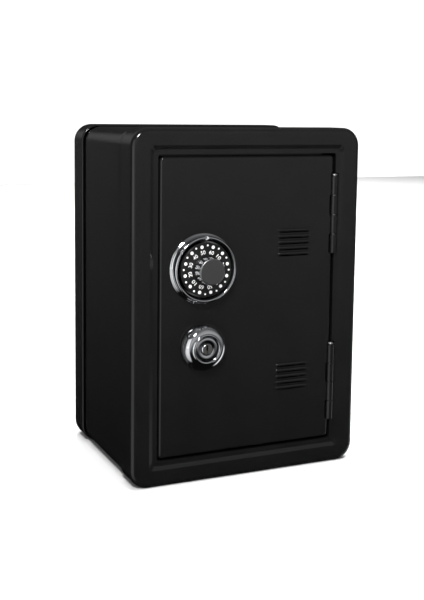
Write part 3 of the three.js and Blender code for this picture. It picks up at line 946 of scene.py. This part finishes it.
# ---- Dial markings ----------------------------------------------------------------------------
# White ink on the disc: twelve large dots, twelve small ones between them, and plain numbers in
# tens that run from ten to sixty twice round.
ink = 0.05 * mm
first_mark = math.radians(17.7)
mark_step = math.radians(30)
large_dot = 0.86 * mm
small_dot = 0.5 * mm
large_dot_circle = 11.65 * mm
small_dot_circle = 12.2 * mm
number_circle = 8.85 * mm
number_height = 1.95 * mm
number_width = 1.32 * number_height


def on_dial(mark, circle, turn):
    """Puts a mark that stands upright at the origin on a circle of the dial, its top outwards."""
    mark.rotation_euler = (0, turn, 0)
    mark.location = (dial_axis.x + circle * math.sin(turn), front_low.y + dial_face,
                     dial_axis.z + circle * math.cos(turn))
    keep_place(mark, "mark")
    return mark


def copy_of(piece):
    """A copy of a piece with its own mesh."""
    only(piece)
    bpy.ops.object.duplicate()
    return bpy.context.object


def dot(radius):
    bpy.ops.object.select_all(action="DESELECT")
    bpy.ops.mesh.primitive_circle_add(vertices=24, radius=radius, fill_type="NGON",
                                      rotation=(math.pi / 2, 0, 0))
    spot = keep_place(bpy.context.object, "dot")
    bpy.ops.object.mode_set(mode="EDIT")
    bpy.ops.mesh.select_all(action="SELECT")
    bpy.ops.mesh.extrude_region_move(TRANSFORM_OT_translate={"value": (0, -ink, 0)})
    bpy.ops.transform.resize(value=(0.95, 1, 0.95), center_override=(0, -ink, 0))
    leave_edit()
    face_outwards(spot)
    return spot


def number(words):
    bpy.ops.object.select_all(action="DESELECT")
    bpy.ops.object.text_add()
    figure = bpy.context.object
    figure.data.body = words
    figure.data.size = 1.0
    figure.data.align_x = "CENTER"
    figure.data.align_y = "CENTER"
    figure.data.offset = 0.012
    figure.data.resolution_u = 4
    only(figure)
    bpy.ops.object.convert(target="MESH")
    figure = bpy.context.object
    across = [vertex.co.x for vertex in figure.data.vertices]
    upwards = [vertex.co.y for vertex in figure.data.vertices]
    wide = number_width / (max(across) - min(across))
    tall = number_height / (max(upwards) - min(upwards))
    figure.scale = (wide, tall, 1)
    figure.location = (-wide * (min(across) + max(across)) / 2, 0,
                       -tall * (min(upwards) + max(upwards)) / 2)
    figure.rotation_euler = (math.pi / 2, 0, 0)
    keep_place(figure, "number")
    bpy.ops.object.mode_set(mode="EDIT")
    bpy.ops.mesh.select_all(action="SELECT")
    bpy.ops.mesh.remove_doubles(threshold=1e-7)
    bpy.ops.mesh.extrude_region_move(TRANSFORM_OT_translate={"value": (0, -ink, 0)})
    leave_edit()
    face_outwards(figure)
    return figure


marks = []
large = dot(large_dot)
small = dot(small_dot)
figures = [number(words) for words in ("60", "10", "20", "30", "40", "50")]
for i in range(12):
    turn = first_mark + i * mark_step
    marks.append(on_dial(copy_of(large), large_dot_circle, turn))
    marks.append(on_dial(copy_of(small), small_dot_circle, turn + mark_step / 2))
    marks.append(on_dial(copy_of(figures[i % 6]), number_circle, turn))
for spent in [large, small, *figures]:
    bpy.data.objects.remove(spent)
markings = joined(marks, "dial_markings")


def ink_white(place):
    return {"Roughness": 0.4 + 0.15 * place.noise(900)}


white_ink = finish("white_ink", {"Base Color": (0.84, 0.84, 0.83, 1)}, ink_white)
markings.data.materials.append(white_ink)
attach(markings, "dial")


# ---- Dial knob --------------------------------------------------------------------------------
# A solid turned knob, slightly tapered and chromed, with a satin front face. It is pressed on the
# spindle.
knob_front, knob_back = depths("dial_knob")
knob_base = half_width("dial_knob")
knob_face = knob_base - 0.3 * mm
bore_end = knob_front + 2.4 * mm

dial_knob = turned("knob", dial_axis, [
    (knob_base - 0.2 * mm, knob_back),
    (knob_base, knob_back - 0.2 * mm),
    (knob_base - 0.25 * mm, knob_back - 2.2 * mm),
    (knob_face + 0.1 * mm, knob_front + 1.2 * mm),
    *bend((knob_face, knob_front + 0.7 * mm), (knob_face - 0.7 * mm, knob_front), 6),
], sides=96)
drill(dial_knob, dial_axis, spindle_bore, bore_end, knob_back + spare)
smooth(dial_knob, 50)


def knob_chrome(place):
    """Polished on the side and brushed to a satin grey on the front face."""
    parts = place.node("ShaderNodeSeparateXYZ", {}, {"Vector": place}, 1)
    side = parts.step(front_low.y + knob_front + 0.1 * mm, front_low.y + knob_front + 0.5 * mm)
    brushed = place.noise(900, 2.0)
    tone = side.blend((0.2, 0.2, 0.205, 1), (0.6, 0.61, 0.63, 1))
    return {
        "Base Color": tone,
        "Roughness": 0.12 + (1 - side) * (0.24 + 0.1 * brushed),
        "Normal": ((1 - side) * brushed).bump(0.15, 0.05 * mm),
    }


knob_metal = finish("knob_metal", {"Metallic": 1.0}, knob_chrome)
dial_knob.data.materials.append(knob_metal)
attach(dial_knob, "dial")
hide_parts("dial_knob")


# ---- Dial spindle and spring washer -----------------------------------------------------------
# A steel spindle runs from the knob through the bushing to the catch disc. A waved washer behind
# the bushing gives the dial its light drag.
spindle_front, spindle_back = depths("dial_spindle")
spindle_radius = 2 * mm
screw_hole = 1.3 * mm
screw_reach = 4.5 * mm

spindle = turned("spindle", dial_axis, [
    (spindle_radius - 0.3 * mm, spindle_front),
    (spindle_radius, spindle_front + 0.3 * mm),
    (spindle_radius, spindle_back - 0.2 * mm),
    (spindle_radius - 0.2 * mm, spindle_back),
], sides=48)
drill(spindle, dial_axis, screw_hole, spindle_back - screw_reach, spindle_back + spare, 32)
smooth(spindle)
spindle.data.materials.append(zinc_steel)
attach(spindle, "dial")
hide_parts("dial_spindle")

washer_front, washer_back = depths("spring_washer")
washer_rise = (washer_back - washer_front) / 2
washer_radius = half_width("spring_washer")
washer_steps = 6
washer = turned("waved_washer", dial_axis, [
    (spindle_bore, washer_front + washer_rise),
    (washer_radius, washer_front + washer_rise),
    (washer_radius, washer_front),
    (spindle_bore, washer_front),
], bored=True, sides=96)
for i in range(washer_steps):
    limit = -1 + (2 * i + 1) / washer_steps
    pick(washer, "VERT", lambda item: math.sin(
        3 * math.atan2(item.co.x - dial_axis.x, item.co.z - dial_axis.z)) > limit)
    bpy.ops.transform.translate(value=(0, washer_rise / washer_steps, 0))
    leave_edit()
smooth(washer, 40)
washer.data.materials.append(zinc_steel)
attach(washer, "dial")
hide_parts("spring_washer")


# ---- Catch disc -------------------------------------------------------------------------------
# A zinc-plated disc with one flat side and a short hub. Turning the dial brings its round part
# behind the frame's lip, and the flat side lets the door go.
disc_low, disc_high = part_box("latch_disc")
disc_radius = (disc_high.z - disc_low.z) / 2
hub_front, catch_back = depths("latch_disc")
catch_front = 9.6 * mm
hub_radius = 5 * mm

latch_disc = turned("catch_disc", dial_axis, [
    (spindle_bore, hub_front),
    (hub_radius - 0.3 * mm, hub_front),
    (hub_radius, hub_front + 0.3 * mm),
    (hub_radius, catch_front),
    (disc_radius, catch_front),
    (disc_radius, catch_back),
    (spindle_bore, catch_back),
], bored=True, sides=128)
flat_cut = block("flat_cut", (disc_low.x - 2 * disc_radius, front_low.y, disc_low.z - spare),
                 (disc_low.x, disc_high.y + spare, disc_high.z + spare))
combine(latch_disc, flat_cut, "DIFFERENCE")
soften(latch_disc, 0.2 * mm, 2, 40)
smooth(latch_disc)
latch_disc.data.materials.append(zinc_steel)
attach(latch_disc, "dial")
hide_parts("latch_disc")


# ---- Catch screws -----------------------------------------------------------------------------
# Two slotted pan-head screws, one into the spindle's end and one into the lock plug's end. Each
# holds its catch on.
def post(name, axis, half_x, half_z, front, back):
    """A block round the dial's or the lock's axis."""
    return block(name, (axis.x - half_x, front, axis.z - half_z),
                 (axis.x + half_x, back, axis.z + half_z))


def pan_screw(node, axis, body):
    shank_front, head_back = depths(node)
    head_radius = half_width(node)
    end = front_low.y + head_back
    head_front = head_back - 1.5 * mm
    screw = turned(node + "_pan", axis, [
        (0.6 * mm, shank_front),
        (1 * mm, shank_front + 0.4 * mm),
        (1 * mm, head_front),
        (head_radius, head_front),
        *bend((head_radius, head_front + 0.6 * mm), (head_radius - 1.2 * mm, head_back), 6),
    ], sides=48)
    slot = post("slot", axis, head_radius + spare, 0.45 * mm, end - 0.75 * mm, end + spare)
    combine(screw, slot, "DIFFERENCE")
    soften(screw, 0.08 * mm, 2, 40)
    smooth(screw)
    screw.data.materials.append(zinc_steel)
    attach(screw, body)
    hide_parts(node)


pan_screw("disc_screw", dial_axis, "dial")
pan_screw("cam_screw", lock_axis, "plug")


# ---- Lock escutcheon --------------------------------------------------------------------------
# A chromed brass dome that covers the edge of the lock's hole and is held down by the housing.
dome_front, dome_base = depths("lock_escutcheon")
dome_radius = half_width("lock_escutcheon")
dome_crest = lock_hole + 0.7 * mm

escutcheon = turned("lock_dome", lock_axis, [
    (lock_hole, dome_base),
    (dome_radius, dome_base),
    *bend((dome_radius, dome_base - 0.4 * mm), (dome_crest + 0.7 * mm, dome_front + 0.6 * mm), 12),
    (dome_crest + 0.35 * mm, dome_front + 0.1 * mm),
    (dome_crest, dome_front),
    (lock_hole + 0.25 * mm, dome_front + 0.08 * mm),
    (lock_hole, dome_front + 0.4 * mm),
], bored=True, sides=128)
smooth(escutcheon, 45)
escutcheon.data.materials.append(chrome)
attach(escutcheon, "door")
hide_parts("lock_escutcheon")


# ---- Lock housing -----------------------------------------------------------------------------
# A die-cast and chromed barrel, threaded behind the door. The plug turns in its bore, and the
# edges of its front face are chamfered.
housing_front, housing_back = depths("lock_housing")
housing_radius = 6.1 * mm
plug_radius = 2.85 * mm
plug_bore = plug_radius + seat_gap

housing = turned("lock_barrel", lock_axis, [
    (plug_bore, housing_back),
    (housing_radius - 0.3 * mm, housing_back),
    *thread(housing_radius, 1.2 * mm, housing_back - 0.2 * mm)[::-1],
    (housing_radius, housing_front + 0.7 * mm),
    (housing_radius - 0.5 * mm, housing_front + 0.15 * mm),
    (housing_radius - 0.95 * mm, housing_front),
    (plug_bore + 0.85 * mm, housing_front),
    (plug_bore + 0.2 * mm, housing_front + 0.3 * mm),
    (plug_bore, housing_front + 0.7 * mm),
], bored=True, sides=96)
smooth(housing, 25)
housing.data.materials.append(chrome)
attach(housing, "door")
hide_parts("lock_housing")


# ---- Lock plug --------------------------------------------------------------------------------
# A chromed plug with a keyway down its middle, slots for the wafers and a square tail for the cam.
plug_low, plug_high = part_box("lock_plug")
plug_front, plug_back = depths("lock_plug")
shoulder = catch_front - seat_gap
tail = 1.8 * mm
keyway_half = 0.45 * mm
keyway_height = 4.4 * mm
keyway_depth = 11 * mm
wafer_names = ["lock_wafer_1", "lock_wafer_2", "lock_wafer_3"]

plug = turned("key_plug", lock_axis, [
    (plug_radius, shoulder),
    (plug_radius, plug_front + 0.35 * mm),
    (plug_radius - 0.35 * mm, plug_front),
], sides=96)
tail_block = post("tail", lock_axis, tail, tail, front_low.y + shoulder - spare, plug_high.y)
combine(plug, tail_block, "UNION")
keyway_end = plug_low.y + keyway_depth
keyway = post("keyway", lock_axis, keyway_half, keyway_height / 2, plug_low.y - spare, keyway_end)
ward = block("ward", (lock_axis.x - keyway_half - 0.35 * mm, plug_low.y - spare,
                      lock_axis.z - 0.2 * mm),
             (lock_axis.x, keyway_end, lock_axis.z + 0.55 * mm))
combine(keyway, ward, "UNION")
combine(plug, keyway, "DIFFERENCE")
drill(plug, lock_axis, screw_hole, plug_back - screw_reach, plug_back + spare, 32)
for wafer_name in wafer_names:
    wafer_low, wafer_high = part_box(wafer_name)
    room = block("room", (wafer_low.x - seat_gap, wafer_low.y - seat_gap, plug_low.z - spare),
                 (wafer_high.x + seat_gap, wafer_high.y + seat_gap, plug_high.z + spare))
    combine(plug, room, "DIFFERENCE")
soften(plug, 0.08 * mm, 2, 40)
smooth(plug)
plug.data.materials.append(chrome)
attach(plug, "plug")
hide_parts("lock_plug")


# ---- Lock wafers ------------------------------------------------------------------------------
# Three thin stamped brass plates that slide across the plug, each with a window for the key.
wafer_window = 1.2 * mm

for wafer_name in wafer_names:
    wafer_low, wafer_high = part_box(wafer_name)
    wafer = block(wafer_name + "_plate", wafer_low, wafer_high)
    round_edges(wafer, lambda item: runs_along(item, 1), 0.35 * mm, 4)
    window = post("window", lock_axis, keyway_half, wafer_window,
                  wafer_low.y - spare, wafer_high.y + spare)
    combine(wafer, window, "DIFFERENCE")
    soften(wafer, 0.06 * mm, 2, 50)
    smooth(wafer)
    wafer.data.materials.append(brass)
    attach(wafer, "plug")
    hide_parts(wafer_name)


# ---- Lock cam ---------------------------------------------------------------------------------
# A stamped and zinc-plated steel tongue on the plug's square tail. A quarter turn of the key
# swings it behind the frame's lip.
cam_low, cam_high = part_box("lock_cam")
cam_half = 4 * mm
cam_hub = 5.5 * mm
cam_hole = tail + seat_gap

lock_cam = block("cam_tongue", (lock_axis.x - cam_half, cam_low.y, cam_low.z),
                 (lock_axis.x + cam_half, cam_high.y, lock_axis.z + cam_half))
round_edges(lock_cam, lambda item: runs_along(item, 1), 2 * mm, 6)
cam_front, cam_back = depths("lock_cam")
hub = turned("cam_hub", lock_axis, [(cam_hub, cam_front), (cam_hub, cam_back)], sides=64)
combine(lock_cam, hub, "UNION")
square = post("square", lock_axis, cam_hole, cam_hole, cam_low.y - spare, cam_high.y + spare)
combine(lock_cam, square, "DIFFERENCE")
soften(lock_cam, 0.2 * mm, 2, 40)
smooth(lock_cam)
lock_cam.data.materials.append(zinc_steel)
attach(lock_cam, "plug")
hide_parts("lock_cam")
